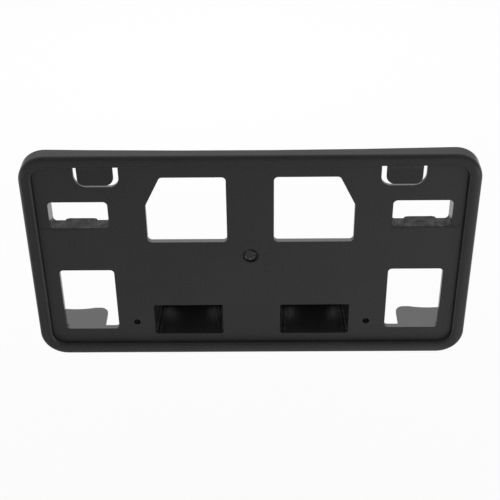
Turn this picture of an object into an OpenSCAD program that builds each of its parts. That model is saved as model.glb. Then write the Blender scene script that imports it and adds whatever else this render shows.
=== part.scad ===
// Front number plate holder: one black plastic moulding.
// The plate rests on the panel and faces -Y, the bumper is towards +Y, and +Z is up.
// The origin is the middle of the plate, on the panel's front face.
// Outlines are drawn as seen from the front, in X and Y, with heights towards the
// viewer along +Z. The finished moulding is then stood up.

/* [Plate] */
// Width of the number plate
plate_w = 304.8; // [296:0.2:314]
// Height of the number plate
plate_h = 152.4; // [148:0.2:160]
// Free room on the left and right of the plate
plate_side_gap = 3.8; // [2:0.1:6]
// Free room above and below the plate
plate_end_gap = 4; // [2:0.1:6]
// Distance between the two plate screws
screw_spacing = 177.8; // [174:0.1:180]
// Height of the plate's lower screws above its bottom edge
screw_edge = 15.9; // [14:0.1:18]

/* [Panel and rim] */
// Thickness of the flat panel
panel_t = 3; // [2:0.1:4]
// Wall of the rim, the legs' sides and the skirt
wall_t = 2.2; // [1.6:0.1:2.8]
// Width of the rim's front face
rim_w = 8.8; // [7.5:0.1:11]
// Height of the rim's crown above the panel
rim_h = 4; // [3.4:0.1:5]
// Radius of the rim's crowned front face
crown_r = 18; // [12:1:40]
// Rounding of the rim's outer front edge
rim_round = 2.2; // [1:0.1:2.8]
// Rounding of the rim's inner front edge
lip_round = 1.6; // [0.6:0.1:2.2]
// Outer corner radius of the holder
corner_r = 20; // [14:0.5:28]
// Depth of the skirt behind the panel's front face, at the middle
skirt_depth = 6; // [4.4:0.1:7]
// Radius of the skirt's rear edge, which follows the bumper
sweep_r = 3900; // [3000:100:12000]

/* [Windows] */
// Inner edge of the big windows from the middle
window_in = 17.3; // [14:0.1:22]
// Outer edge of the big windows from the middle
window_out = 76; // [70:0.1:79]
// Bottom edge of the big windows
window_low = 14.4; // [12:0.1:18]
// Top edge of the big windows
window_high = 70; // [60:0.1:71]
// Width of the window's slanted corner
window_cut_w = 11.5; // [6:0.1:20]
// Height of the window's slanted corner
window_cut_h = 23.6; // [10:0.2:30]
// Corner radius of the windows and the square openings
opening_r = 3; // [1.5:0.1:4]
// Height of the lip behind the edges of the windows and the square openings
opening_lip = 1.7; // [0.8:0.1:3]

/* [Square openings] */
// Inner edge of the square openings from the middle
square_in = 103.4; // [100:0.1:108]
// Outer edge of the square openings from the middle
square_out = 144.6; // [138:0.1:147]
// Bottom edge of the square openings
square_low = -66.8; // [-70:0.1:-60]
// Top edge of the square openings
square_high = -10.8; // [-20:0.1:-8]

/* [Shelves] */
// Depth of the shelves behind the panel's front face
shelf_depth = 27.1; // [18:0.1:32]
// Inner side of the shelves from the middle
shelf_in = 114.8; // [108:0.1:120]
// Outer side of the shelves from the middle
shelf_out = 153.5; // [150:0.1:156]
// Thickness of the shelves
shelf_t = 2.6; // [2:0.1:3.4]
// Radius of the shelves' rear corners
shelf_r = 6.5; // [3:0.1:9]
// Depth of the hollow in the shelves' rear edge
shelf_dip = 1.9; // [0.8:0.1:3]
// Radius of the hollow in the shelves' rear edge
shelf_dip_r = 62; // [40:1:90]
// Distance of the outermost gussets under a shelf from its sides
shelf_gusset_inset = 4; // [2:0.1:8]

/* [Slots] */
// Inner edge of the slots from the middle
slot_in = 103.6; // [100:0.1:108]
// Outer edge of the slots from the middle
slot_out = 146.9; // [142:0.1:149]
// Bottom edge of the slots
slot_low = 27.4; // [24:0.1:32]
// Top edge of the slots
slot_high = 49.8; // [44:0.1:54]
// Corner radius of the slots
slot_r = 3.2; // [2:0.1:4]
// Depth of the slots' sleeve at its floor
sleeve_floor = 11.3; // [8:0.1:12.4]
// Depth of the slots' sleeve at its outer wall
sleeve_side = 14.6; // [12.5:0.1:18]
// Wall of the slots' sleeve
sleeve_t = 2; // [1.6:0.1:2.6]
// Width of the catch on the sleeve's floor, along its rear edge
catch_w = 17.2; // [14:0.1:26]
// Height of the catch above the sleeve's floor
catch_h = 1.1; // [0.6:0.1:2]
// Length by which the catch reaches past the sleeve's floor
catch_reach = 1.2; // [0.4:0.1:2]
// Width of the slanted shoulders beside the catch
catch_shoulder = 3; // [1.5:0.1:5]

/* [Hooks] */
// Distance of the hooks from the middle
hook_x = 109.7; // [108:0.1:114]
// Width of the hooks
hook_w = 25.8; // [20:0.1:30]
// Length of the hooks below the rim
hook_len = 14.2; // [10:0.1:16]
// Thickness of the hooks
hook_t = 1.9; // [1.5:0.1:2.4]
// Radius of the hooks' inner corner
hook_r_in = 6.4; // [3:0.1:8]
// Radius of the hooks' outer corner
hook_r_out = 5.2; // [3:0.1:8]
// Gap in the panel on each side of a hook
hook_side_gap = 3.1; // [2.5:0.1:5]
// Gap in the panel below a hook
hook_end_gap = 3.4; // [3:0.1:6]
// Radius of that gap's inner corner
hook_gap_r_in = 7; // [4:0.1:10]
// Radius of that gap's outer corner
hook_gap_r_out = 9.2; // [4:0.1:10]

/* [Legs] */
// Inner side of the legs' hollow from the middle
leg_in = 22.1; // [18:0.1:28]
// Outer side of the legs' hollow from the middle
leg_out = 75.3; // [70:0.1:78]
// Bottom of the legs' hollow
leg_low = -72.1; // [-73:0.1:-68]
// Top of the legs' hollow
leg_high = -44.2; // [-48:0.1:-40]
// Depth of the legs behind the panel's front face
leg_depth = 40; // [36:0.5:50]
// Draft of the legs' sides, in degrees
leg_draft = 3; // [1:0.1:5]
// Wall at the rear of the legs
leg_rear_t = 3; // [2:0.1:4]
// Radius along the bottom edges of the legs' hollow
leg_fillet = 2.4; // [1.5:0.1:4]
// Radius along the top edges of the legs' hollow
leg_top_fillet = 1.2; // [0.6:0.1:3]
// Diameter of the bolt holes in the legs
bolt_d = 7; // [5:0.1:9]
// Distance of the bolt holes from the middle of the leg
bolt_out = 18; // [13:0.5:19]
// Height of the bolt holes above the bottom of the legs' hollow
bolt_rise = 7.2; // [6.5:0.1:14]
// Diameter of the raised ring round the bolt holes
bolt_pad_d = 14; // [12:0.5:14.5]
// Height of the raised ring round the bolt holes
bolt_pad_h = 1; // [0.5:0.1:2]
// Height of the gussets above the legs
leg_gusset_h = 15; // [8:0.5:22]
// Distance of those gussets from the sides of the legs' hollow
leg_gusset_inset = 9; // [4:0.1:14]

/* [Screw holes] */
// Diameter of the plate screws' pilot holes
pilot_d = 4.3; // [3.5:0.1:5]
// Diameter of the pilot holes' bosses
boss_d = 9.6; // [8:0.1:12]
// Length of the bosses behind the panel's front face
boss_len = 11; // [8:0.1:14]

/* [Ribs and gate] */
// Thickness of the stiffening ribs
rib_t = 1.8; // [1.2:0.1:2.4]
// Height of the stiffening ribs behind the panel
rib_h = 2.6; // [1.5:0.1:4]
// Diameter of the round recess where the plastic was fed in
gate_d = 11.4; // [8:0.1:14]
// Depth of that recess
gate_depth = 0.9; // [0.4:0.1:1.2]
// Diameter of the stub left in that recess
stub_d = 7.4; // [4:0.1:7.8]
// Depth of the stub's end below the panel's front face
stub_drop = 0.2; // [0.1:0.1:0.3]
// Height of that recess and stub above the middle
gate_y = 1.8; // [0:0.1:4]

/* [Hidden] */
$fn = 64;
// Length by which a cut runs past the face that it opens
past = 1;
// Depth by which a joined shape sinks into what carries it
bite = 0.6;
// Height by which the rim's corner arcs stand over its crown, so that they cross
seam = 0.01;
recess_w = plate_w + 2 * plate_side_gap;
recess_h = plate_h + 2 * plate_end_gap;
outer_w = recess_w + 2 * rim_w;
outer_h = recess_h + 2 * rim_w;
inner_r = corner_r - rim_w;
// The skirt's rear edge reaches this deep at the holder's ends
skirt_end = skirt_depth + sweep_r - sqrt(sweep_r * sweep_r - outer_w * outer_w / 4);
screw_y = screw_edge - plate_h / 2;
hook_mid = recess_h / 2 - hook_len;
leg_mid = (leg_in + leg_out) / 2;
bolt_y = leg_low + bolt_rise;
shelf_mid = (shelf_in + shelf_out) / 2;
// Share of a shelf's depth that the gussets under it reach
shelf_gusset_share = 0.75;
// Share of a leg's depth that the gussets above it reach
leg_gusset_share = 0.7;
// Sides of the circles drawn for the wide arcs
wide_fn = 720;
// Short sides that make up each round corner of the windows
corner_steps = 6;

window_points = [
    [window_in, window_low],
    [window_out, window_low],
    [window_out, window_high - window_cut_h],
    [window_out - window_cut_w, window_high],
    [window_in, window_high]
];

// Corners of a box given by its sides, anticlockwise
function box_points(left, right, low, high) =
    [[left, low], [right, low], [right, high], [left, high]];

// Outward normal of the edge that leaves corner i
function edge_normal(points, i) =
    let (n = len(points), d = points[(i + 1) % n] - points[i % n])
    [d[1], -d[0]] / norm(d);

// Middle of the arc of radius r that rounds corner i
function arc_middle(points, i, r) =
    let (
        n = len(points),
        a = edge_normal(points, i + n - 1),
        b = edge_normal(points, i)
    )
    points[i] - r * (a + b) / (1 + a * b);

// Both sides of the holder: the right one as drawn and its mirror image
module both_sides() {
    children();
    mirror([1, 0, 0]) children();
}

// Point of the arc that rounds corner i, at the share t of its turn
function arc_point(points, i, r, grow, t) =
    let (
        a = edge_normal(points, i + len(points) - 1),
        b = edge_normal(points, i),
        angle = atan2(a[1], a[0]) + t * acos(a * b)
    )
    arc_middle(points, i, r) + (r + grow) * [cos(angle), sin(angle)];

// Outline with every corner rounded to radius r in short sides, and moved out by grow
module rounded_outline(points, r, grow = 0) {
    polygon([
        for (i = [0:len(points) - 1], step = [0:corner_steps])
            arc_point(points, i, r, grow, step / corner_steps)
    ]);
}

// Upright block of height h with round corners of radius r, its sides moved out by grow
module rounded_block(left, right, low, high, r, h, grow = 0) {
    inner = box_points(left + r, right - r, low + r, high - r);
    size = r + grow;
    translate([left + r, low - grow, 0]) cube([right - left - 2 * r, high - low + 2 * grow, h]);
    translate([left - grow, low + r, 0]) cube([right - left + 2 * grow, high - low - 2 * r, h]);
    for (middle = inner) translate(middle) cylinder(r = size, h = h);
}

// Section carried round a rounded rectangle. The section's X is measured
// outwards from the middle of the corner arcs.
module carried_round(w, h, r) {
    long = w - 2 * r;
    high = h - 2 * r;
    for (turn = [0, 180]) rotate(turn) {
        translate([long / 2, 0, 0])
            rotate([90, 0, 0]) linear_extrude(high, center = true) children();
        translate([0, high / 2, 0])
            rotate([90, 0, 90]) linear_extrude(long, center = true) children();
        translate([long / 2, high / 2, 0])
            rotate_extrude(angle = 90) children();
        translate([-long / 2, high / 2, 0])
            rotate(90) rotate_extrude(angle = 90) children();
    }
}

// Height of a point that lies x beside the middle of the rim and r below its crown
function crown_level(x, r) = rim_h - crown_r + sqrt((crown_r - r) * (crown_r - r) - x * x);

// Section of the rim: a channel that opens to the rear, with a crowned front
module rim_section() {
    groove_w = rim_w - 2 * wall_t;
    foot = -skirt_end - past;
    outer = rim_w / 2 - rim_round;
    inner = rim_w / 2 - lip_round;
    outer_y = crown_level(outer, rim_round) + seam;
    inner_y = crown_level(inner, lip_round) + seam;
    outer_touch = outer * crown_r / (crown_r - rim_round);
    inner_touch = inner * crown_r / (crown_r - lip_round);
    difference() {
        translate([inner_r + rim_w / 2, 0]) {
            intersection() {
                translate([0, rim_h - crown_r]) circle(r = crown_r, $fn = wide_fn);
                translate([-inner_touch, foot])
                    square([inner_touch + outer_touch, rim_h + past - foot]);
            }
            translate([outer, foot]) square([rim_round, outer_y - foot]);
            translate([outer, outer_y]) circle(r = rim_round);
            translate([-rim_w / 2, foot]) square([lip_round, inner_y - foot]);
            translate([-inner, inner_y]) circle(r = lip_round);
        }
        translate([inner_r + wall_t, foot - past])
            square([groove_w, rim_h - wall_t - foot + past]);
        translate([inner_r - past, foot - past])
            square([wall_t + 2 * past, past - panel_t - foot]);
    }
}

// Block behind the skirt's rear edge, which is a wide arc seen from above
module bumper_clearance() {
    reach = outer_w / 2 + past;
    deep = skirt_end + 3 * past;
    intersection() {
        translate([0, 0, -skirt_depth - sweep_r]) rotate([90, 0, 0])
            cylinder(r = sweep_r, h = outer_h + 2 * past, center = true, $fn = wide_fn);
        translate([-reach, -outer_h / 2 - past, -deep])
            cube([2 * reach, outer_h + 2 * past, deep]);
    }
}

// Raised rim with its skirt
module rim() {
    difference() {
        carried_round(outer_w, outer_h, corner_r) rim_section();
        bumper_clearance();
    }
}

// Flat panel that the plate rests on
module panel() {
    x = (recess_w + wall_t) / 2;
    y = (recess_h + wall_t) / 2;
    translate([0, 0, -panel_t])
        rounded_block(-x, x, -y, y, inner_r + wall_t / 2, panel_t);
}

// Lips behind the edges of the big windows and the square openings
module opening_lips() {
    h = opening_lip + bite;
    translate([0, 0, -panel_t - opening_lip]) {
        linear_extrude(h) rounded_outline(window_points, opening_r, wall_t);
        rounded_block(square_in, square_out, square_low, square_high, opening_r, h, wall_t);
    }
}

// Block of height h with the outline of a slot, its sides moved out by grow
module slot_block(h, grow = 0) {
    rounded_block(slot_in, slot_out, slot_low, slot_high, slot_r, h, grow);
}

// Sleeve behind a slot. Its rear edge runs from the floor up to the outer wall.
module slot_sleeve() {
    floor_y = slot_low - sleeve_t - past;
    roof_y = slot_high + sleeve_t + past;
    side_y = slot_low + slot_r;
    intersection() {
        translate([0, 0, -sleeve_side]) slot_block(sleeve_side - panel_t + bite, sleeve_t);
        translate([slot_out + sleeve_t + past, 0, 0]) rotate([0, -90, 0])
            linear_extrude(slot_out - slot_in + 2 * sleeve_t + 2 * past)
            polygon([
                [0, floor_y],
                [-sleeve_floor, floor_y],
                [-sleeve_floor, slot_low],
                [-sleeve_side, side_y],
                [-sleeve_side, roof_y],
                [0, roof_y]
            ]);
    }
}

// Catch on the sleeve's floor: a wedge that rises to the rear
module slot_catch() {
    mid = (slot_in + slot_out) / 2;
    foot = catch_w + 2 * catch_shoulder;
    rear = sleeve_floor + catch_reach;
    intersection() {
        translate([mid - foot / 2, 0, 0]) rotate([90, 0, 90]) linear_extrude(foot)
            polygon([
                [slot_low - bite, -panel_t],
                [slot_low, -panel_t],
                [slot_low + catch_h, -rear + catch_reach],
                [slot_low + catch_h, -rear],
                [slot_low - bite, -rear]
            ]);
        translate([mid, slot_low + catch_h, 0]) rotate([90, 0, 0])
            linear_extrude(catch_h + 2 * bite)
            polygon([
                [-foot / 2, past],
                [-foot / 2, -sleeve_floor],
                [-catch_w / 2, -rear],
                [catch_w / 2, -rear],
                [foot / 2, -sleeve_floor],
                [foot / 2, past]
            ]);
    }
}

// Shelf behind the foot of a square opening, with gussets under it
module shelf() {
    low = square_low - shelf_t;
    w = shelf_out - shelf_in;
    translate([0, square_low, 0]) rotate([90, 0, 0]) linear_extrude(shelf_t)
        difference() {
            union() {
                translate([shelf_in, -shelf_depth + shelf_r])
                    square([w, shelf_depth - shelf_r - bite]);
                translate([shelf_in + shelf_r, -shelf_depth])
                    square([w - 2 * shelf_r, shelf_r + bite]);
                for (x = [shelf_in + shelf_r, shelf_out - shelf_r])
                    translate([x, -shelf_depth + shelf_r]) circle(r = shelf_r);
            }
            translate([shelf_mid + shelf_r, -shelf_depth + shelf_dip - shelf_dip_r])
                circle(r = shelf_dip_r, $fn = wide_fn);
        }
    gusset_len = shelf_depth * shelf_gusset_share;
    gusset_h = outer_h / 2 - rim_w + low;
    first = shelf_in + shelf_gusset_inset;
    last = shelf_out - shelf_gusset_inset - rib_t;
    for (x = [first, (first + last) / 2, last])
        translate([x, 0, 0]) rotate([90, 0, 90]) linear_extrude(rib_t)
            polygon([
                [low + bite, -panel_t + bite],
                [low + bite, -gusset_len],
                [low, -gusset_len],
                [low - gusset_h, -panel_t],
                [low - gusset_h, -panel_t + bite]
            ]);
}

// Plan of a leg or of its hollow: the sides lean in towards the rear
module leg_plan(front, depth, grow) {
    lean = (depth - front) * tan(leg_draft);
    polygon([
        [leg_in - grow, -front],
        [leg_out + grow, -front],
        [leg_out + grow - lean, -depth],
        [leg_in - grow + lean, -depth]
    ]);
}

// Outside of a leg, a closed box that reaches back to the bumper
module leg_body() {
    low = leg_low - wall_t;
    high = leg_high + wall_t;
    translate([0, high, 0]) rotate([90, 0, 0]) linear_extrude(high - low)
        leg_plan(panel_t - bite, leg_depth, wall_t);
    for (x = [leg_mid - bolt_out, leg_mid + bolt_out])
        translate([x, bolt_y, -leg_depth - bolt_pad_h])
            cylinder(d = bolt_pad_d, h = bolt_pad_h + bite);
}

// Hollow of a leg, open at the panel's front
module leg_hollow() {
    depth = leg_depth - leg_rear_t;
    difference() {
        translate([0, leg_high, 0]) rotate([90, 0, 0]) linear_extrude(leg_high - leg_low)
            leg_plan(-past, depth, 0);
        for (side = [0, 1], end = [0, 1])
            translate([side == 0 ? leg_in : leg_out, end == 0 ? leg_low : leg_high, 0])
                mirror([side, 0, 0]) mirror([0, end, 0]) rotate([0, leg_draft, 0])
                leg_fillet_strip(end == 0 ? leg_fillet : leg_top_fillet, depth + leg_rear_t);
    }
    for (x = [leg_mid - bolt_out, leg_mid + bolt_out])
        translate([x, bolt_y, -leg_depth - bolt_pad_h - past])
            cylinder(d = bolt_d, h = leg_depth);
}

// Rounded filling of radius r along an edge of a leg's hollow
module leg_fillet_strip(r, length) {
    translate([0, 0, -length]) linear_extrude(length + 2 * past) difference() {
        translate([-past, -past]) square(r + past);
        translate([r, r]) circle(r = r);
    }
}

// Gussets that tie a leg's top to the panel
module leg_gussets() {
    foot = leg_high + wall_t;
    tip = foot + leg_gusset_h;
    rear = leg_depth * leg_gusset_share;
    for (x = [leg_in + leg_gusset_inset, leg_out - leg_gusset_inset - rib_t])
        translate([x, 0, 0]) rotate([90, 0, 90]) linear_extrude(rib_t)
            polygon([
                [foot - bite, -panel_t + bite],
                [tip, -panel_t + bite],
                [tip, -panel_t],
                [foot, -rear],
                [foot - bite, -rear]
            ]);
}

// Rib on the panel's rear between two points of a straight line
module rib(x1, y1, x2, y2) {
    w = abs(x2 - x1) + rib_t;
    h = abs(y2 - y1) + rib_t;
    translate([min(x1, x2) - rib_t / 2, min(y1, y2) - rib_t / 2, -panel_t - rib_h])
        cube([w, h, rib_h + bite]);
}

// Stiffening ribs on the panel's rear
module ribs() {
    end_y = recess_h / 2 + wall_t / 2;
    end_x = recess_w / 2 + wall_t / 2;
    cross_y = (window_low + square_high) / 2;
    rib(0, -end_y, 0, end_y);
    both_sides() {
        rib(screw_spacing / 2, -end_y, screw_spacing / 2, end_y);
        rib(0, cross_y, end_x, cross_y);
    }
}

// Boss behind a plate screw's pilot hole
module screw_boss() {
    translate([screw_spacing / 2, screw_y, -boss_len])
        cylinder(d = boss_d, h = boss_len - bite);
}

// Upright box with its two bottom corners rounded, each to a radius of its own
module round_foot(left, right, low, high, r_left, r_right) {
    translate([left, low + r_left]) square([right - left - r_right, high - low - r_left]);
    translate([right - r_right, low + r_right]) square([r_right, high - low - r_right]);
    translate([left + r_left, low]) square([right - left - r_left - r_right, r_left]);
    translate([left + r_left, low + r_left]) circle(r = r_left);
    translate([right - r_right, low + r_right]) circle(r = r_right);
}

// Hook that holds the plate's top edge, level with the rim's front beside it
module hook() {
    top = recess_h / 2 + wall_t / 2;
    left = hook_x - hook_w / 2;
    right = hook_x + hook_w / 2;
    translate([0, 0, crown_level((rim_w - wall_t) / 2, 0) - hook_t]) linear_extrude(hook_t)
        round_foot(left, right, hook_mid, top, hook_r_in, hook_r_out);
}

// Opening in the panel behind a hook
module hook_opening() {
    low = hook_mid - hook_end_gap;
    left = hook_x - hook_w / 2 - hook_side_gap;
    right = hook_x + hook_w / 2 + hook_side_gap;
    translate([0, 0, -panel_t - rib_h - past]) linear_extrude(panel_t + rib_h + 2 * past)
        round_foot(left, right, low, recess_h / 2, hook_gap_r_in, hook_gap_r_out);
}

// Everything that is cut through the panel on one side
module side_cuts() {
    deep = panel_t + rib_h + past;
    slot_deep = sleeve_side + past;
    translate([0, 0, -deep]) linear_extrude(deep + past)
        rounded_outline(window_points, opening_r);
    translate([0, 0, -slot_deep]) slot_block(slot_deep + past);
    translate([0, 0, -deep])
        rounded_block(square_in, square_out, square_low, square_high, opening_r, deep + past);
    translate([screw_spacing / 2, screw_y, -boss_len - past])
        cylinder(d = pilot_d, h = boss_len + 2 * past);
    hook_opening();
    leg_hollow();
}

// Round recess at the middle, with the stub of the plastic's feed
module gate_recess() {
    translate([0, gate_y, -gate_depth]) difference() {
        cylinder(d = gate_d, h = gate_depth + past);
        translate([0, 0, -past]) cylinder(d = stub_d, h = gate_depth + past - stub_drop);
    }
}

// The whole moulding, lying on its back
module moulding() {
    difference() {
        union() {
            rim();
            panel();
            ribs();
            both_sides() {
                opening_lips();
                slot_sleeve();
                screw_boss();
                leg_body();
                leg_gussets();
            }
        }
        both_sides() side_cuts();
        gate_recess();
    }
    both_sides() {
        shelf();
        slot_catch();
        hook();
    }
}

// One-piece plate holder, stood up
module plate_holder() {
    color("#26272a") rotate([90, 0, 0]) moulding();
}

plate_holder();
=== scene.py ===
"""Front number plate holder of a car: its finish, its small moulded marks, studio and camera."""

import logging
import math
from dataclasses import dataclass, field
from enum import Enum, IntEnum
from typing import Any, Iterable, Sequence

import bmesh
import bpy
from mathutils import Matrix, Vector, noise
from mathutils.bvhtree import BVHTree


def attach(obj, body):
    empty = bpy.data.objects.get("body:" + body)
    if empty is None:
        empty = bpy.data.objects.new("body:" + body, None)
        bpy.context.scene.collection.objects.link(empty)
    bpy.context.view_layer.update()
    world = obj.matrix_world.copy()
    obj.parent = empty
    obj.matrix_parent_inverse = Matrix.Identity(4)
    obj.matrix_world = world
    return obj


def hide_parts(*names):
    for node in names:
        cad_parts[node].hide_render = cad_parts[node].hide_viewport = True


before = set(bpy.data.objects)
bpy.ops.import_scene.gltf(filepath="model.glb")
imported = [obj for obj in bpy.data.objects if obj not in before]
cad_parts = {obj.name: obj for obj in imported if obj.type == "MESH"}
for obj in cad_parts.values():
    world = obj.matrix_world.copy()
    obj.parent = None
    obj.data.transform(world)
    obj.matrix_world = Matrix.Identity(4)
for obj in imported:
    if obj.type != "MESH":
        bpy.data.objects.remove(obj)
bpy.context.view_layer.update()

LOG = logging.getLogger("plate_holder")
MM = 0.001
BODY = "root"
MOULDING_NODE = "plate_holder"
PLASTIC_IOR = 1.5
SPECULAR_LEVEL = 0.5
NOISE_MEAN = 0.5
WHITE = (1.0, 1.0, 1.0, 1.0)
# Centre of the recess's corner rounds, their radius, and the height of the plastic's feed.
CORNER_CENTRE = (145.0 * MM, 69.0 * MM)
RECESS_RADIUS = 11.2 * MM
GATE_RISE = 1.8 * MM

Pair = tuple[float, float]
Point = tuple[float, float, float]
Colour = tuple[float, float, float, float]
Input = Any


# ---------------------------------------------------------------- node trees


class NodeTree:
    """A node tree that is filled from Python."""

    def __init__(self, tree: bpy.types.NodeTree) -> None:
        """Takes a tree.

        Args:
            tree: the tree to fill.
        """
        self.tree = tree

    def source(self, given: Input) -> bpy.types.NodeSocket | None:
        """The socket that an input stands for, or None for a plain value."""
        return given if isinstance(given, bpy.types.NodeSocket) else None

    def node(self, kind: str, inputs: dict[str | int, Input] | None = None,
             **settings: Any) -> bpy.types.Node:
        """Adds a node.

        Args:
            kind: the node's type.
            inputs: values or sources of links, by the socket's name or number.
            settings: attributes, set before the sockets.

        Returns:
            The new node.
        """
        node = self.tree.nodes.new(kind)
        for name, setting in settings.items():
            setattr(node, name, setting)
        for name, given in (inputs or {}).items():
            source = self.source(given)
            if source is None:
                node.inputs[name].default_value = given
            else:
                self.tree.links.new(source, node.inputs[name])
        return node


class Value:
    """A number socket of a shader tree that adds Math nodes when it is used in a sum."""

    def __init__(self, tree: "ShaderTree", socket: bpy.types.NodeSocket) -> None:
        """Wraps a socket.

        Args:
            tree: the tree that the socket belongs to.
            socket: the output socket.
        """
        self.tree = tree
        self.socket = socket

    def _math(self, operation: str, *values: Input) -> "Value":
        """Adds a Math node of one kind with its inputs in order."""
        return self.tree.value("ShaderNodeMath", dict(enumerate(values)), operation=operation)

    def __add__(self, other: Input) -> "Value":
        """Sum."""
        return self._math("ADD", self, other)

    def __radd__(self, other: Input) -> "Value":
        """Sum with the number first."""
        return self._math("ADD", other, self)

    def __sub__(self, other: Input) -> "Value":
        """Difference."""
        return self._math("SUBTRACT", self, other)

    def __rsub__(self, other: Input) -> "Value":
        """Difference with the number first."""
        return self._math("SUBTRACT", other, self)

    def __mul__(self, other: Input) -> "Value":
        """Product."""
        return self._math("MULTIPLY", self, other)

    def __rmul__(self, other: Input) -> "Value":
        """Product with the number first."""
        return self._math("MULTIPLY", other, self)

    def __truediv__(self, other: Input) -> "Value":
        """Quotient."""
        return self._math("DIVIDE", self, other)

    def root(self) -> "Value":
        """The value's square root."""
        return self._math("SQRT", self)

    def size(self) -> "Value":
        """The value without its sign."""
        return self._math("ABSOLUTE", self)

    def maximum(self, other: Input) -> "Value":
        """Larger of the two."""
        return self._math("MAXIMUM", self, other)

    def ramp(self, low: float, high: float) -> "Value":
        """Rises smoothly from 0 at the low value to 1 at the high one."""
        inputs = {"Value": self, "From Min": low, "From Max": high}
        return self.tree.value("ShaderNodeMapRange", inputs, interpolation_type="SMOOTHSTEP")


@dataclass(frozen=True)
class Grain:
    """A soft noise: width of one blotch in metres, number of finer layers and their share."""

    size: float
    detail: float
    share: float


class ShaderTree(NodeTree):
    """A material's or world's node tree, built from Python expressions."""

    def __init__(self, tree: bpy.types.NodeTree) -> None:
        """Takes a tree and empties it.

        Args:
            tree: the tree to fill.
        """
        super().__init__(tree)
        tree.nodes.clear()

    def source(self, given: Input) -> bpy.types.NodeSocket | None:
        """The socket that an input stands for, or None for a plain value."""
        return given.socket if isinstance(given, Value) else super().source(given)

    def value(self, kind: str, inputs: dict[str | int, Input], **settings: Any) -> Value:
        """Adds a node as node() does and wraps its first output, a number."""
        return Value(self, self.node(kind, inputs, **settings).outputs[0])

    def place(self) -> bpy.types.NodeSocket:
        """Object coordinates, in metres."""
        return self.node("ShaderNodeTexCoord").outputs["Object"]

    def axes(self, vector: bpy.types.NodeSocket) -> tuple[Value, Value, Value]:
        """Splits a vector into its X, Y and Z."""
        split = self.node("ShaderNodeSeparateXYZ", {0: vector})
        return tuple(Value(self, output) for output in split.outputs)

    def noise(self, vector: bpy.types.NodeSocket, grain: Grain) -> Value:
        """Adds soft noise.

        Args:
            vector: where it is read.
            grain: its settings.

        Returns:
            The noise, about NOISE_MEAN.
        """
        return self.value("ShaderNodeTexNoise", {
            "Vector": vector, "Scale": 1.0 / grain.size, "Detail": grain.detail,
            "Roughness": grain.share})

    def mix_colour(self, factor: Input, first: Sequence[float] | bpy.types.NodeSocket,
                   second: Sequence[float] | bpy.types.NodeSocket) -> bpy.types.NodeSocket:
        """Blends two colours.

        Args:
            factor: 0 for the first colour, 1 for the second.
            first: colour or link.
            second: colour or link.

        Returns:
            The blended colour.
        """
        inputs = {0: factor, 6: first, 7: second}
        return self.node("ShaderNodeMix", inputs, data_type="RGBA").outputs[2]

    def mix_shader(self, factor: Input, first: bpy.types.NodeSocket,
                   second: bpy.types.NodeSocket) -> bpy.types.NodeSocket:
        """Blends two shaders, from the first at factor 0 to the second at factor 1."""
        return self.node("ShaderNodeMixShader", {0: factor, 1: first, 2: second}).outputs[0]

    def glow(self, strength: float) -> bpy.types.NodeSocket:
        """White light that a surface gives off."""
        return self.node("ShaderNodeEmission", {"Strength": strength}).outputs[0]

    def bump(self, height: Value, distance: float) -> bpy.types.NodeSocket:
        """Turns a relief into the normal that it gives.

        Args:
            height: the relief.
            distance: the depth in metres of a relief of 1.

        Returns:
            The normal.
        """
        inputs = {"Strength": 1.0, "Distance": distance, "Height": height}
        return self.node("ShaderNodeBump", inputs).outputs[0]

    def plastic(self, colour: bpy.types.NodeSocket, roughness: Input,
                **more: Input) -> bpy.types.NodeSocket:
        """Adds the shader of a plastic.

        Args:
            colour: its colour.
            roughness: its roughness.
            more: other sockets by name, with an underscore for each space.

        Returns:
            The shader's output.
        """
        inputs = {"Base Color": colour, "Roughness": roughness, "IOR": PLASTIC_IOR}
        inputs.update({name.replace("_", " "): given for name, given in more.items()})
        return self.node("ShaderNodeBsdfPrincipled", inputs).outputs[0]

    def seen_directly(self, mirror_share: Input) -> Value:
        """Tells what is looked at from the light that falls on the object.

        Args:
            mirror_share: what a reflection counts for.

        Returns:
            1 for camera and transmission rays, mirror_share for reflections, 0 for other light.
        """
        path = self.node("ShaderNodeLightPath")
        camera = Value(self, path.outputs["Is Camera Ray"])
        glossy = Value(self, path.outputs["Is Glossy Ray"])
        through = Value(self, path.outputs["Is Transmission Ray"])
        direct = camera.maximum(through)
        return direct + glossy * mirror_share * (1.0 - direct)


# ---------------------------------------------------------------- finishes


@dataclass(frozen=True)
class Finish:
    """A named material, whose surface each kind of finish describes."""

    name: str

    def surface(self, tree: ShaderTree) -> bpy.types.NodeSocket:
        """Describes the surface in a tree and hands out its shader."""
        raise NotImplementedError

    def build(self) -> bpy.types.Material:
        """Builds the material.

        Returns:
            The material.
        """
        material = bpy.data.materials.new(self.name)
        material.use_nodes = True
        tree = ShaderTree(material.node_tree)
        tree.node("ShaderNodeOutputMaterial", {0: self.surface(tree)})
        return material


@dataclass(frozen=True)
class Spot:
    """The place that a shader looks at."""

    across: Value
    depth: Value
    height: Value

    def side(self) -> Value:
        """Distance from the middle, to either side."""
        return self.across.size()


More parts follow.
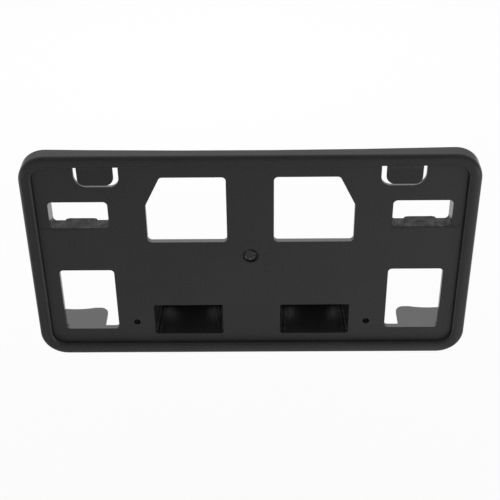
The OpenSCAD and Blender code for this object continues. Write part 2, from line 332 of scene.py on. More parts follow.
@dataclass(frozen=True)
class Areas:
    """Masks of the moulding's areas, from 0 to 1, each soft over the given stretches."""

    front_depth: Pair = (-0.1 * MM, 0.35 * MM)
    side_skin: Pair = (156.6 * MM, 157.4 * MM)
    end_skin: Pair = (80.6 * MM, 81.4 * MM)
    slot_side: Pair = (101 * MM, 102 * MM)
    slot_floor: Pair = (25 * MM, 25.4 * MM)
    slot_wall: Pair = (28.8 * MM, 29.6 * MM)
    gate_edge: Pair = (7 * MM, 8 * MM)
    gate_depth: Pair = (2 * MM, 3 * MM)
    pilot_place: Pair = (88.9 * MM, -60.3 * MM)
    pilot_edge: Pair = (2.4 * MM, 2.88 * MM)
    leg_top: Pair = (-43 * MM, -42 * MM)
    leg_side: Pair = (77.5 * MM, 78.5 * MM)
    wall_inner: Pair = (-1.3 * MM, -1.1 * MM)
    wall_outer: Pair = (0.3 * MM, 0.9 * MM)
    wall_foot: Pair = (-0.5 * MM, -0.1 * MM)
    foot_edge: Pair = (81.5 * MM, 87 * MM)
    side_edge: Pair = (157.5 * MM, 163 * MM)

    def slot(self, spot: Spot) -> Value:
        """The floors of the slots' sleeves."""
        return (spot.side().ramp(*self.slot_side) * spot.height.ramp(*self.slot_floor)
                * (1.0 - spot.height.ramp(*self.slot_wall)))

    def grained(self, spot: Spot) -> Value:
        """Finds the grained faces.

        Args:
            spot: the place that is shaded.

        Returns:
            The mask of the front, the rim's outside, the slots' floors and the round recess.
        """
        front = (1.0 - spot.depth.ramp(*self.front_depth)).maximum(
            spot.side().ramp(*self.side_skin)).maximum(spot.height.size().ramp(*self.end_skin))
        rise = spot.height - GATE_RISE
        beyond_gate = (spot.across * spot.across + rise * rise).ramp(
            self.gate_edge[0] ** 2, self.gate_edge[1] ** 2)
        gate = (1.0 - beyond_gate) * (1.0 - spot.depth.ramp(*self.gate_depth))
        return front.maximum(self.slot(spot)).maximum(gate)

    def pilot_hole(self, spot: Spot) -> Value:
        """Finds the holes of the plate's lower screws, whose walls the finish paints dark as
        painted shade.

        Args:
            spot: the place that is shaded.

        Returns:
            The mask of their walls and edges.
        """
        aside = spot.side() - self.pilot_place[0]
        above = spot.height - self.pilot_place[1]
        return 1.0 - (aside * aside + above * above).ramp(
            self.pilot_edge[0] ** 2, self.pilot_edge[1] ** 2)

    def leg(self, spot: Spot) -> Value:
        """The part of the panel that holds the hollow legs."""
        return (1.0 - spot.height.ramp(*self.leg_top)) * (1.0 - spot.side().ramp(*self.leg_side))

    def rim_wall(self, spot: Spot) -> Value:
        """Finds the rim's inner wall.

        Args:
            spot: the place that is shaded.

        Returns:
            The mask of the wall, all round the recess.
        """
        arm_x = (spot.side() - CORNER_CENTRE[0]).maximum(0.0)
        arm_z = (spot.height.size() - CORNER_CENTRE[1]).maximum(0.0)
        beyond = (arm_x * arm_x + arm_z * arm_z).root() - RECESS_RADIUS
        return (beyond.ramp(*self.wall_inner) * (1.0 - beyond.ramp(*self.wall_outer))
                * (1.0 - spot.depth.ramp(*self.wall_foot)))

    def rubbed_edge(self, spot: Spot) -> Value:
        """The outer edges that handling polishes: the foot and both sides."""
        foot = (0.0 - spot.height).ramp(*self.foot_edge)
        return foot.maximum(spot.side().ramp(*self.side_edge))


@dataclass(frozen=True)
class BlackPlastic(Finish):
    """Black moulded plastic: a fine textured grain in front, a plain smooth skin elsewhere, with
    painted light in the hollow legs and painted shade in the screw holes.
    """

    name: str = "black_plastic"
    areas: Areas = Areas()
    dark: Colour = (0.0035, 0.0035, 0.0055, 1.0)
    pale: Colour = (0.0160, 0.0160, 0.0190, 1.0)
    skin: Colour = (0.038, 0.038, 0.039, 1.0)
    flow: Grain = Grain(42 * MM, 3.0, 0.55)
    speck: Grain = Grain(1.9 * MM, 3.0, 0.7)
    flow_share: float = 0.3
    shade_range: Pair = (0.32, 0.68)
    front_rough: float = 0.62
    rear_rough: float = 0.26
    rough_spread: float = 0.10
    wall_rough: float = 0.34
    edge_polish: float = 0.34
    pilot_rough: float = 0.25
    pilot_dull: float = 0.4
    smear: Grain = Grain(5 * MM, 2.0, 0.6)
    slot_smear: float = 0.6
    leg_rough: float = 0.48
    # Depths over which the painted light of the hollow legs fades from the dark grain colour to
    # the skin, and its share.
    leg_painted_gradient_depths: Pair = (6 * MM, 30 * MM)
    leg_painted_gradient_share: float = 0.6
    leg_rear: Pair = (20 * MM, 34 * MM)
    leg_rear_rough: float = 0.2
    streak: Grain = Grain(1.5 * MM, 2.0, 0.6)
    streak_scale: Point = (1.0, 0.04, 1.0)
    streak_rough: float = 0.3
    streak_height: float = 0.11 * MM
    grain: Grain = Grain(0.55 * MM, 2.0, 0.6)
    grain_height: float = 0.035 * MM
    skin_grain: float = 0.15
    pebble: Grain = Grain(1.5 * MM, 1.0, 0.5)
    pebble_height: float = 0.05 * MM

    def surface(self, tree: ShaderTree) -> bpy.types.NodeSocket:
        """Describes the surface.

        Args:
            tree: the material's tree.

        Returns:
            The shader.
        """
        place = tree.place()
        spot = Spot(*tree.axes(place))
        front = self.areas.grained(spot)
        hole = self.areas.pilot_hole(spot)
        leg = self.areas.leg(spot) * (1.0 - front)
        flow = tree.noise(place, self.flow)
        speck = tree.noise(place, self.speck)
        drawn = tree.node("ShaderNodeMapping", {"Vector": place, "Scale": self.streak_scale})
        streak = tree.noise(drawn.outputs[0], self.streak) - NOISE_MEAN

        shade = (flow * self.flow_share + speck * (1.0 - self.flow_share)).ramp(*self.shade_range)
        # Painted light: in the hollow legs the colour turns from the dark grain colour near the
        # mouth to the paler skin towards the rear, a painted brightening of their depths.
        leg_painted_gradient = leg * (1.0 - spot.depth.ramp(*self.leg_painted_gradient_depths)) * self.leg_painted_gradient_share
        # Painted shade: the pilot holes' walls take the dark grain colour instead of the skin.
        colour = tree.mix_colour(front.maximum(hole).maximum(leg_painted_gradient), self.skin,
                                 tree.mix_colour(shade, self.dark, self.pale))

        rough = self.rear_rough + front * (self.front_rough - self.rear_rough)
        rough = rough + leg * (self.leg_rough - self.rear_rough + streak * self.streak_rough
                               + spot.depth.ramp(*self.leg_rear) * self.leg_rear_rough)
        wall = self.areas.rim_wall(spot)
        rough = rough - wall * (self.front_rough - self.wall_rough) + hole * self.pilot_rough
        smear = (tree.noise(place, self.smear) - NOISE_MEAN) * self.areas.slot(spot)
        rough = rough - self.areas.rubbed_edge(spot) * front * self.edge_polish
        rough = rough + smear * self.slot_smear
        rough = rough + (flow - NOISE_MEAN) * self.rough_spread
        rough = rough + (speck - NOISE_MEAN) * self.rough_spread * front

        fine = self.skin_grain + (1.0 - self.skin_grain) * front
        relief = tree.noise(place, self.grain) * fine * self.grain_height
        relief = relief + tree.noise(place, self.pebble) * front * self.pebble_height
        relief = relief + streak * leg * self.streak_height
        return tree.plastic(colour, rough, Normal=tree.bump(relief / MM, MM),
                            Specular_IOR_Level=SPECULAR_LEVEL - hole * self.pilot_dull)


@dataclass(frozen=True)
class TornPlastic(Finish):
    """The broken face of a moulding's feed: paler, rough, with stress-whitened specks."""

    name: str = "torn_plastic"
    dark: Colour = (0.012, 0.012, 0.013, 1.0)
    pale: Colour = (0.2, 0.2, 0.2, 1.0)
    speck: Grain = Grain(1.5 * MM, 3.0, 0.65)
    crumb: Grain = Grain(0.4 * MM, 2.0, 0.6)
    crumb_share: float = 0.2
    shade_range: Pair = (0.54, 0.7)
    roughness: float = 0.62
    rough_spread: float = 0.2
    relief: float = 0.08 * MM

    def surface(self, tree: ShaderTree) -> bpy.types.NodeSocket:
        """Describes the surface.

        Args:
            tree: the material's tree.

        Returns:
            The shader.
        """
        place = tree.place()
        crumb = tree.noise(place, self.crumb)
        mixed = tree.noise(place, self.speck) * (1.0 - self.crumb_share) + crumb * self.crumb_share
        colour = tree.mix_colour(mixed.ramp(*self.shade_range), self.dark, self.pale)
        rough = self.roughness + (crumb - NOISE_MEAN) * self.rough_spread
        return tree.plastic(colour, rough, Normal=tree.bump(crumb, self.relief))


@dataclass(frozen=True)
class PaintedHighlightLine(Finish):
    """Black plastic with a painted highlight along a fine ridge, broken up at random along its
    length.
    """

    name: str = "painted_highlight_line"
    highlight_colour: Colour = (0.16, 0.16, 0.165, 1.0)
    ridge_colour: Colour = (0.04, 0.04, 0.041, 1.0)
    highlight_breakup: Grain = Grain(6 * MM, 2.0, 0.5)
    highlight_breakup_range: Pair = (0.3, 0.55)
    roughness: float = 0.4

    def surface(self, tree: ShaderTree) -> bpy.types.NodeSocket:
        """Describes the surface and hands out its shader."""
        # Painted highlight: the pale colour stands in for the light that the fillet catches along
        # the bead.
        highlight_breakup = tree.noise(tree.place(), self.highlight_breakup).ramp(*self.highlight_breakup_range)
        return tree.plastic(tree.mix_colour(highlight_breakup, self.ridge_colour, self.highlight_colour), self.roughness)


@dataclass(frozen=True)
class PaleSweep(Finish):
    """Pale floor with a soft shadow, white to the camera and partly white in reflections."""

    name: str = "pale_sweep"
    colour: Colour = (0.82, 0.82, 0.82, 1.0)
    cloth_colour: Colour = (0.84, 0.84, 0.84, 1.0)
    cloth: Grain = Grain(0.5, 2.0, 0.5)
    glow: float = 1.0
    lift: float = 0.12
    shadow_share: float = 0.35
    behind_skew: float = 0.25
    behind_edge: Pair = (-0.34, -0.14)
    right_edge: Pair = (0.15, 0.5)
    left_edge: Pair = (0.4, 0.7)
    patch_across: Pair = (-0.15, 0.3)
    patch_along: Pair = (-0.7, -0.3)
    patch_share: float = 0.8

    def surface(self, tree: ShaderTree) -> bpy.types.NodeSocket:
        """Describes the surface.

        Args:
            tree: the material's tree.

        Returns:
            The shader.
        """
        place = tree.place()
        across, along, _ = tree.axes(place)
        behind = (along + across * self.behind_skew).ramp(*self.behind_edge)
        behind = behind.maximum(across.ramp(*self.right_edge))
        behind = behind.maximum((0.0 - across).ramp(*self.left_edge))
        patch = across.ramp(*self.patch_across) * along.ramp(*self.patch_along)
        seen = tree.seen_directly((patch * self.patch_share).maximum(behind))
        tint = tree.mix_colour(tree.noise(place, self.cloth), self.colour, self.cloth_colour)
        matt = tree.node("ShaderNodeBsdfDiffuse", {"Color": tint}).outputs[0]
        shaded = tree.mix_shader(1.0 - self.shadow_share, matt, tree.glow(self.glow))
        lit = tree.node("ShaderNodeAddShader", {0: shaded, 1: tree.glow(self.lift)})
        return tree.mix_shader(seen, matt, lit.outputs[0])


# ---------------------------------------------------------------- the moulding


def add_piece(name: str, mesh: bpy.types.Mesh, material: bpy.types.Material) -> bpy.types.Object:
    """Puts a finished mesh into the scene as a piece of the object.

    Args:
        name: the piece's name.
        mesh: its mesh, in place.
        material: its finish.

    Returns:
        The new object, which rides on the one body.
    """
    mesh.materials.clear()
    mesh.materials.append(material)
    piece = bpy.data.objects.new(name, mesh)
    bpy.context.scene.collection.objects.link(piece)
    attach(piece, BODY)
    return piece


def applied(carrier: bpy.types.Object) -> bpy.types.Mesh:
    """Turns an object with modifiers into a plain mesh and removes the object.

    Args:
        carrier: the object.

    Returns:
        A new mesh with the modifiers' result.
    """
    graph = bpy.context.evaluated_depsgraph_get()
    graph.update()
    result = bpy.data.meshes.new_from_object(carrier.evaluated_get(graph))
    source = carrier.data
    bpy.data.objects.remove(carrier)
    bpy.data.meshes.remove(source)
    return result


class FaceRole(IntEnum):
    """Material numbers that tell the solid's own faces from those of the rounding."""

    KEPT = 0
    ROUNDING = 1


@dataclass
class Moulding:
    """The holder itself: the exact solid with the small edge radii that a mould leaves.

    The places of rounds on the rim are measured outwards from the corner's centre and forwards
    from the panel.
    """

    finish: BlackPlastic = field(default_factory=BlackPlastic)
    edge_radius: float = 0.35 * MM
    edge_segments: int = 2
    sharp_from: float = math.radians(28)
    merge_distance: float = 0.002 * MM
    flat_within: float = math.radians(0.5)
    sleeve_edge_y: Pair = (11.1 * MM, 12.1 * MM)
    sleeve_edge_z: Pair = (24.9 * MM, 28.6 * MM)
    stray_share: float = 0.75
    slack: float = 0.01 * MM
    wall_height: float = 3.7 * MM
    wall_lean: float = 1.35 * MM
    wall_reach: Pair = (-0.5 * MM, 1.7 * MM)
    round_place: Pair = (17.8 * MM, 1.656 * MM)
    round_radius: float = 2.2 * MM
    round_band: float = 0.05 * MM
    soft_place: Pair = (16.8 * MM, 0.751 * MM)
    soft_radius: float = 3.2 * MM
    soft_turn: float = 1.04
    gate_reach: float = 6 * MM
    gate_floor_y: Pair = (0.4 * MM, 1.2 * MM)
    gate_deeper: float = 1.0 * MM
    patch_layer: str = "patch"
    same_patch: float = math.cos(math.radians(30))
    near_patch: float = math.cos(math.radians(62))

    def build(self) -> bpy.types.Object:
        """Makes the dressed copy of the solid.

        Returns:
            The piece that stands for the solid.
        """
        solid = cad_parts[MOULDING_NODE].data
        mesh = solid.copy()
        self._merge(mesh)
        rounded = self._round_edges(mesh)
        self._settle(rounded, solid)
        for vertex in rounded.vertices:
            self._ease_rim(vertex)
            self._deepen_recess(vertex)
        self._shade(rounded)
        piece = add_piece("moulding", rounded, self.finish.build())
        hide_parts(MOULDING_NODE)
        return piece

    def _merge(self, mesh: bpy.types.Mesh) -> None:
        """Joins loose triangles to flat patches, numbers these and marks the edges to round.

        Args:
            mesh: the copy of the solid's mesh.
        """
        bm = bmesh.new()
        bm.from_mesh(mesh)
        bmesh.ops.remove_doubles(bm, verts=bm.verts, dist=self.merge_distance)
        bmesh.ops.dissolve_limit(bm, angle_limit=self.flat_within, use_dissolve_boundaries=False,
                                 verts=bm.verts, edges=bm.edges)
        patch = bm.faces.layers.int.new(self.patch_layer)
        for number, face in enumerate(bm.faces):
            face[patch] = number
        bmesh.ops.triangulate(bm, faces=bm.faces, quad_method="BEAUTY", ngon_method="BEAUTY")
        weight = bm.edges.layers.float.new("bevel_weight_edge")
        for edge in bm.edges:
            if self._takes_radius(edge):
                edge[weight] = 1.0
        for face in bm.faces:
            face.smooth = True
            face.material_index = FaceRole.KEPT
        bm.to_mesh(mesh)
        bm.free()

    def _takes_radius(self, edge: bmesh.types.BMEdge) -> bool:
        """Tells whether an edge is rounded.

        Args:
            edge: the edge.

        Returns:
            True for a sharp edge between two faces, away from the sleeves' slanted foot.
        """
        if len(edge.link_faces) != 2 or edge.calc_face_angle(0.0) < self.sharp_from:
            return False
        middle = (edge.verts[0].co + edge.verts[1].co) / 2
        at_foot = (self.sleeve_edge_y[0] < middle.y < self.sleeve_edge_y[1]
                   and self.sleeve_edge_z[0] < middle.z < self.sleeve_edge_z[1])
        return not at_foot

    def _round_edges(self, mesh: bpy.types.Mesh) -> bpy.types.Mesh:
        """Rounds the marked edges.

        Args:
            mesh: the merged mesh, which is used up.

        Returns:
            The rounded mesh.
        """
        mesh.materials.clear()
        for _ in FaceRole:
            mesh.materials.append(None)
        carrier = bpy.data.objects.new("moulding_carrier", mesh)
        bpy.context.scene.collection.objects.link(carrier)
        bevel = carrier.modifiers.new("edge_radius", "BEVEL")
        bevel.material = FaceRole.ROUNDING
        bevel.width = self.edge_radius
        bevel.segments = self.edge_segments
        bevel.limit_method = "WEIGHT"
        bevel.use_clamp_overlap = False
        bevel.loop_slide = False
        return applied(carrier)

    def _settle(self, rounded: bpy.types.Mesh, solid: bpy.types.Mesh) -> None:
        """Puts points that the rounding threw off back on the solid.

        Args:
            rounded: the rounded mesh.
            solid: the solid's mesh.
        """
        corners = [vertex.co for vertex in solid.vertices]
        faces = [tuple(face.vertices) for face in solid.polygons]
        surface = BVHTree.FromPolygons(corners, faces)
        low = [min(corner[i] for corner in corners) for i in range(3)]
        high = [max(corner[i] for corner in corners) for i in range(3)]
        for vertex in rounded.vertices:
            spot, _, _, distance = surface.find_nearest(vertex.co)
            if distance > self.edge_radius * self.stray_share:
                vertex.co = spot
            vertex.co = [min(max(vertex.co[i], low[i]), high[i]) for i in range(3)]

    def _ease_rim(self, vertex: bpy.types.MeshVertex) -> None:
        """Gives the rim's inner wall its lean and its outer front edge a softer round.

        Args:
            vertex: a point of the rounded mesh.
        """
        x, y, z = vertex.co
        arm = Vector((math.copysign(max(abs(x) - CORNER_CENTRE[0], 0.0), x), 0.0,
                      math.copysign(max(abs(z) - CORNER_CENTRE[1], 0.0), z)))
        out = arm.length
        if out == 0.0:
            return
        away = arm.normalized()
        beyond = out - RECESS_RADIUS
        if (-self.wall_height < y < self.slack
                and self.wall_reach[0] < beyond < self.wall_reach[1]):
            fade = (CORNER_CENTRE[1] + RECESS_RADIUS - z) / RECESS_RADIUS
            fade = min(max(fade, 0.0), 1.0)
            vertex.co -= away * self.wall_lean * fade * (1.0 + y / self.wall_height)
            return
        right, up = out - self.round_place[0], -y - self.round_place[1]
        off_round = abs(math.hypot(right, up) - self.round_radius)
        if right < 0.0 or up < -self.slack or off_round > self.round_band:
            return
        turn = math.atan2(up, right) * self.soft_turn
        target_out = self.soft_place[0] + self.soft_radius * math.cos(turn)
        target_y = -self.soft_place[1] - self.soft_radius * math.sin(turn)
        share = min(max(0.5 + z / (2 * CORNER_CENTRE[1]), 0.0), 1.0)
        vertex.co += away * (target_out - out) * share
        vertex.co.y += (target_y - y) * share

    def _deepen_recess(self, vertex: bpy.types.MeshVertex) -> None:
        """Makes the ring round the feed's stub deeper than the solid has it.

        Args:
            vertex: a point of the rounded mesh.
        """
        x, y, z = vertex.co
        near_gate = math.hypot(x, z - GATE_RISE) < self.gate_reach
        if near_gate and self.gate_floor_y[0] < y < self.gate_floor_y[1]:
            vertex.co.y += self.gate_deeper

    def _shade(self, rounded: bpy.types.Mesh) -> None:
        """Gives flat patches their own normal and lets the rounded edges blend between them.

        Args:
            rounded: the rounded mesh.
        """
        owner = [item.value for item in rounded.attributes[self.patch_layer].data]
        sums = [Vector() for _ in range(max(owner) + 1)]
        around: list[set[int]] = [set() for _ in rounded.vertices]
        for face in rounded.polygons:
            if face.material_index == FaceRole.KEPT:
                sums[owner[face.index]] += face.normal * face.area / MM ** 2
                for corner in face.vertices:
                    around[corner].add(owner[face.index])
        patches = [total * total.length for total in sums]
        soft = [vertex.normal.copy() for vertex in rounded.vertices]
        normals = []
        for face in rounded.polygons:
            kept = face.material_index == FaceRole.KEPT
            own = patches[owner[face.index]].normalized() if kept else face.normal
            limit = self.same_patch if kept else self.near_patch
            for corner in face.vertices:
                near = [patches[i] for i in around[corner]
                        if patches[i].normalized().dot(own) > limit]
                total = sum(near, Vector())
                normals.append(total.normalized() if total.length > 0 else soft[corner])
        rounded.attributes.remove(rounded.attributes[self.patch_layer])
        for face in rounded.polygons:
            face.material_index = FaceRole.KEPT
        rounded.normals_split_custom_set(normals)


@dataclass
class GateStub:
    """Torn remains of the plastic's feed, on the stub inside the round recess."""

    finish: TornPlastic = field(default_factory=TornPlastic)
    centre: Pair = (-0.5 * MM, 2.45 * MM)
    radius: float = 4.2 * MM
    rings: int = 14
    spokes: int = 56
    ragged: float = 0.22
    rag_scale: float = 2.0
    rag_seed: float = 5.0
    seat_y: float = 0.2 * MM
    foot_y: float = 2.0 * MM
    relief: float = 0.17 * MM
    crumb_scale: float = 900.0
    crumb_seed: Point = (3.1, 7.7, 1.3)
    crumb_layers: tuple[float, float, int] = (0.8, 2.2, 4)

    def build(self) -> bpy.types.Object:
        """Makes the torn cap.

        Returns:
            The piece.
        """
        bm = bmesh.new()
        hub = bm.verts.new(self._point(0.0, 0.0, True))
        rows = [[bm.verts.new(self._point(self.radius * (ring + 1) / self.rings,
                                          math.tau * spoke / self.spokes, True))
                 for spoke in range(self.spokes)] for ring in range(self.rings)]
        foot = [bm.verts.new(self._point(self.radius, math.tau * spoke / self.spokes, False))
                for spoke in range(self.spokes)]
        for i in range(self.spokes):
            j = (i + 1) % self.spokes
            bm.faces.new((hub, rows[0][i], rows[0][j]))
            for low, high in zip(rows, rows[1:]):
                bm.faces.new((low[i], high[i], high[j], low[j]))
            bm.faces.new((rows[-1][i], foot[i], foot[j], rows[-1][j]))
        base = bm.faces.new(reversed(foot))
        bmesh.ops.recalc_face_normals(bm, faces=bm.faces)
        for face in bm.faces:
            face.smooth = face != base
        mesh = bpy.data.meshes.new("gate_stub")
        bm.to_mesh(mesh)
        bm.free()
        return add_piece("gate_stub", mesh, self.finish.build())

    def _point(self, distance: float, angle: float, torn: bool) -> Vector:
        """Places one point of the cap.

        Args:
            distance: from the stub's middle.
            angle: round the stub.
            torn: True on the torn face, False on the hidden foot.

        Returns:
            The point, with -Y as its height.
        """
        turn = Vector((math.cos(angle) * self.rag_scale, math.sin(angle) * self.rag_scale,
                       self.rag_seed))
        wobble = 1.0 + self.ragged * noise.noise(turn)
        x = self.centre[0] + distance * wobble * math.cos(angle)
        z = self.centre[1] + distance * wobble * math.sin(angle)
        if not torn:
            return Vector((x, self.foot_y, z))
        spot = Vector((x, 0.0, z)) * self.crumb_scale + Vector(self.crumb_seed)
        rough = 0.5 + 0.5 * noise.fractal(spot, *self.crumb_layers)
        height = self.relief * min(max(rough, 0.0), 1.0)
        return Vector((x, self.seat_y - height, z))


# ---------------------------------------------------------------- marks of the mould


class GeometryTree(NodeTree):
    """A Geometry Nodes tree with named inputs."""

    def __init__(self, name: str, inputs: dict[str, str]) -> None:
        """Starts the tree.

        Args:
            name: the tree's name.
            inputs: the kind of each named input.
        """
        super().__init__(bpy.data.node_groups.new(name, "GeometryNodeTree"))
        interface = self.tree.interface
        interface.new_socket("Geometry", in_out="OUTPUT", socket_type="NodeSocketGeometry")
        for title, kind in inputs.items():
            interface.new_socket(title, in_out="INPUT", socket_type=kind)
        self.given = self.node("NodeGroupInput").outputs

    def source(self, given: Input) -> bpy.types.NodeSocket | None:
        """The socket that an input stands for: "=Name" is the tree's own input of that name."""
        named = isinstance(given, str) and given.startswith("=")
        return self.given[given[1:]] if named else super().source(given)

    def finish(self, geometry: bpy.types.NodeSocket, material: bpy.types.Material) -> None:
        """Ends the tree in real geometry with its finish.

        Args:
            geometry: the geometry to hand out.
            material: the finish.
        """
        real = self.node("GeometryNodeRealizeInstances", {0: geometry}).outputs[0]
        dressed = self.node("GeometryNodeSetMaterial", {0: real, "Material": material})
        self.node("NodeGroupOutput", {0: dressed.outputs[0]})

    def result(self, values: dict[str, Any]) -> bpy.types.Mesh:
        """Evaluates the tree on an empty mesh.

        Args:
            values: the values of the named inputs.

        Returns:
            The mesh that it makes.
        """
        carrier = bpy.data.objects.new("tree_carrier", bpy.data.meshes.new("tree_carrier"))
        bpy.context.scene.collection.objects.link(carrier)
        modifier = carrier.modifiers.new("tree", "NODES")
        modifier.node_group = self.tree
        for item in self.tree.interface.items_tree:
            if item.in_out == "INPUT":
                modifier[item.identifier] = values[item.name]
        return applied(carrier)

    def results(self, name: str, runs: Iterable[dict[str, Any]]) -> bpy.types.Mesh:
        """Evaluates the tree several times and joins the results.

        Args:
            name: the joined mesh's name.
            runs: the values of the named inputs, one set for each time.

        Returns:
            The joined mesh.
        """
        bm = bmesh.new()
        for values in runs:
            mesh = self.result(values)
            bm.from_mesh(mesh)
            bpy.data.meshes.remove(mesh)
        joined = bpy.data.meshes.new(name)
        bm.to_mesh(joined)
        bm.free()
        return joined


class MarkKind(Enum):
    """The pins that leave marks behind the panel, by their radius in mm."""

    WIDE = 3.5
    NARROW = 2.5


@dataclass(frozen=True)
class MarkRow:
    """A row of ejector marks: its first mark, the step to the next, in mm, and their number."""

    first: Pair
    step: Pair
    count: int
    kind: MarkKind


@dataclass
class EjectorMarks:
    """Round marks of the mould's ejector pins on the panel's rear face."""

    rear_y: float = 3.0 * MM
    proud: float = 0.12 * MM
    ring_width: float = 0.16 * MM
    ring_sides: int = 8
    sides: int = 32
    rows: tuple[MarkRow, ...] = (
        MarkRow((9, 26), (0, 18), 3, MarkKind.WIDE),
        MarkRow((24, -12), (21, 0), 4, MarkKind.WIDE),
        MarkRow((96, -30), (0, -14), 2, MarkKind.NARROW),
        MarkRow((9, -30), (0, -17), 3, MarkKind.WIDE),
        MarkRow((83, 20), (0, 15), 4, MarkKind.NARROW),
    )

    def build(self, material: bpy.types.Material) -> bpy.types.Object:
        """Makes every row on both sides as one piece.

        Args:
            material: the moulding's finish.

        Returns:
            The piece.
        """
        runs = [{"Count": row.count,
                 "First": (side * row.first[0] * MM, self.rear_y, row.first[1] * MM),
                 "Step": (side * row.step[0] * MM, 0.0, row.step[1] * MM),
                 "Radius": row.kind.value * MM}
                for row in self.rows for side in (1, -1)]
        mesh = self._tree(material).results("ejector_marks", runs)
        return add_piece("ejector_marks", mesh, material)

    def _tree(self, material: bpy.types.Material) -> GeometryTree:
        """Builds the tree: a line of points, each with a ring and a shallow disc.

        Args:
            material: the moulding's finish.

        Returns:
            The tree.
        """
        tree = GeometryTree("ejector_row", {
            "Count": "NodeSocketInt", "First": "NodeSocketVector",
            "Step": "NodeSocketVector", "Radius": "NodeSocketFloat"})
        line = tree.node("GeometryNodeMeshLine", {
            "Count": "=Count", "Start Location": "=First", "Offset": "=Step"})
        disc = tree.node("GeometryNodeMeshCylinder", {
            "Vertices": self.sides, "Radius": "=Radius", "Depth": self.proud})
        path = tree.node("GeometryNodeCurvePrimitiveCircle", {
            "Resolution": self.sides, "Radius": "=Radius"})
        section = tree.node("GeometryNodeCurvePrimitiveCircle", {
            "Resolution": self.ring_sides, "Radius": self.ring_width})
        ring = tree.node("GeometryNodeCurveToMesh", {0: path.outputs[0], 1: section.outputs[0]})
        both = tree.node("GeometryNodeJoinGeometry")
        for part in (disc.outputs["Mesh"], ring.outputs[0]):
            tree.tree.links.new(part, both.inputs[0])
        marks = tree.node("GeometryNodeInstanceOnPoints", {
            "Points": line.outputs[0], "Instance": both.outputs[0],
            "Rotation": (math.pi / 2, 0.0, 0.0)})
        tree.finish(marks.outputs[0], material)
        return tree


@dataclass(frozen=True)
class Bead:
    """A fine line: its distance from the hollow's side, its rise above the floor, its radius."""

    inset: float
    rise: float
    radius: float


@dataclass
class CoreLines:
    """Fine witness lines that the mould's slides leave along the floors of the hollow legs; their
    pale finish is a painted highlight.
    """

    finish: PaintedHighlightLine = field(default_factory=PaintedHighlightLine)
    front_y: float = 3.4 * MM
    rear_y: float = 36.6 * MM
    floor_z: float = -72.1 * MM
    sides_x: Pair = (22.1 * MM, 75.3 * MM)
    draft: float = math.radians(3)
    section_sides: int = 8
    beads: tuple[Bead, ...] = (
        Bead(0.35 * MM, 0.35 * MM, 0.4 * MM),
        Bead(3.4 * MM, 0.0, 0.24 * MM),
    )

    def build(self) -> bpy.types.Object:
        """Makes the lines of both legs as one piece.

        Returns:
            The piece.
        """
        finish = self.finish.build()
        runs = [{"Start": self._end(leg, wall, inward, bead, self.front_y),
                 "End": self._end(leg, wall, inward, bead, self.rear_y),
                 "Radius": bead.radius}
                for leg in (1, -1) for wall, inward in zip(self.sides_x, (1, -1))
                for bead in self.beads]
        mesh = self._tree(finish).results("core_lines", runs)
        return add_piece("core_lines", mesh, finish)

    def _end(self, leg: int, wall: float, inward: int, bead: Bead, depth: float) -> Point:
        """Places one end of a line.

        Args:
            leg: 1 for the right leg, -1 for the left.
            wall: how far from the object's middle the hollow's side lies at the front.
            inward: 1 for the side next to the middle, -1 for the outer one.
            bead: the line.
            depth: distance behind the panel's front face.

        Returns:
            The point, on a path that follows the side's draft.
        """
        x = wall + inward * (bead.inset + depth * math.tan(self.draft))
        return (leg * x, depth, self.floor_z + bead.rise)

    def _tree(self, finish: bpy.types.Material) -> GeometryTree:
        """Builds the tree: a fine bead along a straight line.

        Args:
            finish: the bead's finish.

        Returns:
            The tree.
        """
        tree = GeometryTree("core_line", {
            "Start": "NodeSocketVector", "End": "NodeSocketVector", "Radius": "NodeSocketFloat"})
        line = tree.node("GeometryNodeCurvePrimitiveLine", {"Start": "=Start", "End": "=End"})
        section = tree.node("GeometryNodeCurvePrimitiveCircle", {
            "Resolution": self.section_sides, "Radius": "=Radius"})
        bead = tree.node("GeometryNodeCurveToMesh", {
            0: line.outputs[0], 1: section.outputs[0], "Fill Caps": True})
        tree.finish(bead.outputs[0], finish)
        return tree


# ---------------------------------------------------------------- studio


@dataclass(frozen=True)
class SoftLight:
    """A large soft lamp that points at the object."""

    name: str
    place: Point
    target: Point
    width: float
    height: float
    power: float

    def build(self) -> bpy.types.Object:
        """Adds the lamp.

        Returns:
            The lamp.
        """
        data = bpy.data.lights.new(self.name, "AREA")
        data.shape = "RECTANGLE"
        data.size = self.width
        data.size_y = self.height
        data.energy = self.power
        lamp = bpy.data.objects.new(self.name, data)
        lamp.location = self.place
        aim = Vector(self.target) - Vector(self.place)
        lamp.rotation_euler = aim.to_track_quat("-Z", "Y").to_euler()
        bpy.context.scene.collection.objects.link(lamp)
        return lamp


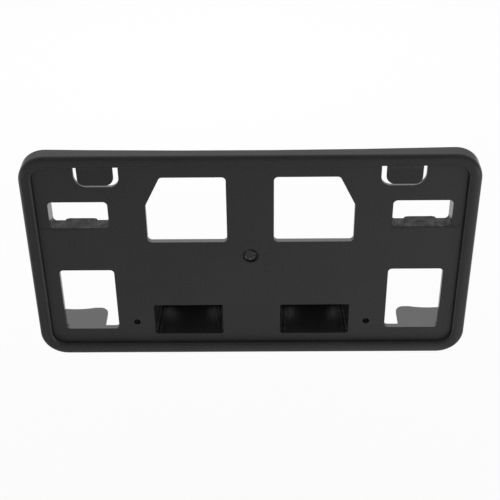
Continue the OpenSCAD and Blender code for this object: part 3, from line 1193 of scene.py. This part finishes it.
@dataclass
class Studio:
    """Pale floor, even surroundings and soft lamps."""

    floor_z: float = -0.34
    floor_size: float = 9.0
    ambient: float = 0.55
    room_front: float = 0.3
    room_top: float = 0.2
    away_edge: Pair = (-0.3, 0.5)
    top_edge: Pair = (0.3, 0.95)
    lamps: tuple[SoftLight, ...] = (
        SoftLight("back_softbox", place=(-0.1, 1.35, 0.95), target=(0.0, 0.0, 0.0),
                  width=1.9, height=1.0, power=7.1),
        SoftLight("right_fill", place=(0.8, -0.9, -0.12), target=(0.08, 0.0, -0.03),
                  width=0.6, height=0.4, power=1.5),
    )

    def build(self) -> None:
        """Adds the floor, the world and the lamps."""
        self._floor()
        self._world()
        for lamp in self.lamps:
            lamp.build()

    def _floor(self) -> None:
        """Adds the floor below the object."""
        half = self.floor_size / 2
        mesh = bpy.data.meshes.new("floor")
        corners = [(-half, -half), (half, -half), (half, half), (-half, half)]
        mesh.from_pydata([(x, y, self.floor_z) for x, y in corners], [], [(0, 1, 2, 3)])
        mesh.materials.append(PaleSweep().build())
        floor = bpy.data.objects.new("floor", mesh)
        bpy.context.scene.collection.objects.link(floor)

    def _world(self) -> None:
        """Makes the surroundings white to the camera and graded in reflections.

        The object's light comes at the ambient level. A reflection sees the room instead: dim in
        front of the object and overhead, white behind it.
        """
        world = bpy.data.worlds.new("studio")
        bpy.context.scene.world = world
        world.use_nodes = True
        tree = ShaderTree(world.node_tree)
        direction = tree.node("ShaderNodeTexCoord").outputs["Generated"]
        _, away, up = tree.axes(direction)
        room = away.ramp(*self.away_edge).maximum(up.ramp(*self.top_edge) * self.room_top)
        room = self.room_front + room * (1.0 - self.room_front)
        above_ambient = (room - self.ambient) / (1.0 - self.ambient)
        seen = tree.seen_directly(above_ambient)
        back = tree.node("ShaderNodeBackground", {
            "Color": WHITE, "Strength": self.ambient + seen * (1.0 - self.ambient)})
        tree.node("ShaderNodeOutputWorld", {0: back.outputs[0]})


@dataclass(frozen=True)
class PortraitCamera:
    """Camera at the portrait's viewing angle."""

    place: Point = (0.008094, -0.672229, 0.473101)
    elevation: float = math.radians(34.7184)
    azimuth: float = math.radians(0.7303)
    roll: float = math.radians(-0.7423)
    lens: float = 79.2
    sensor: float = 36.0
    reach: float = 50.0

    def build(self) -> bpy.types.Object:
        """Adds the camera and makes it the scene's own.

        Returns:
            The camera.
        """
        e, a, r = self.elevation, self.azimuth, self.roll
        back = Vector((math.sin(a) * math.cos(e), -math.cos(a) * math.cos(e), math.sin(e)))
        right = Vector((math.cos(a), math.sin(a), 0.0))
        up = back.cross(right)
        turned_right = math.cos(r) * right + math.sin(r) * up
        turned_up = math.cos(r) * up - math.sin(r) * right
        data = bpy.data.cameras.new("portrait")
        data.sensor_width = self.sensor
        data.lens = self.lens
        data.clip_end = self.reach
        camera = bpy.data.objects.new("portrait", data)
        turn = Matrix((turned_right, turned_up, back)).transposed().to_4x4()
        camera.matrix_world = Matrix.Translation(self.place) @ turn
        bpy.context.scene.collection.objects.link(camera)
        bpy.context.scene.camera = camera
        return camera


def main() -> None:
    """Builds the camera, the studio and the holder, and reports each piece."""
    logging.basicConfig(level=logging.INFO, format="%(name)s: %(message)s")
    bpy.context.scene.view_settings.view_transform = "Standard"
    PortraitCamera().build()
    Studio().build()
    moulding = Moulding().build()
    pieces = [
        moulding,
        GateStub().build(),
        EjectorMarks().build(moulding.data.materials[0]),
        CoreLines().build(),
    ]
    for piece in pieces:
        LOG.info("%s: %d faces", piece.name, len(piece.data.polygons))


if __name__ == "__main__":
    main()
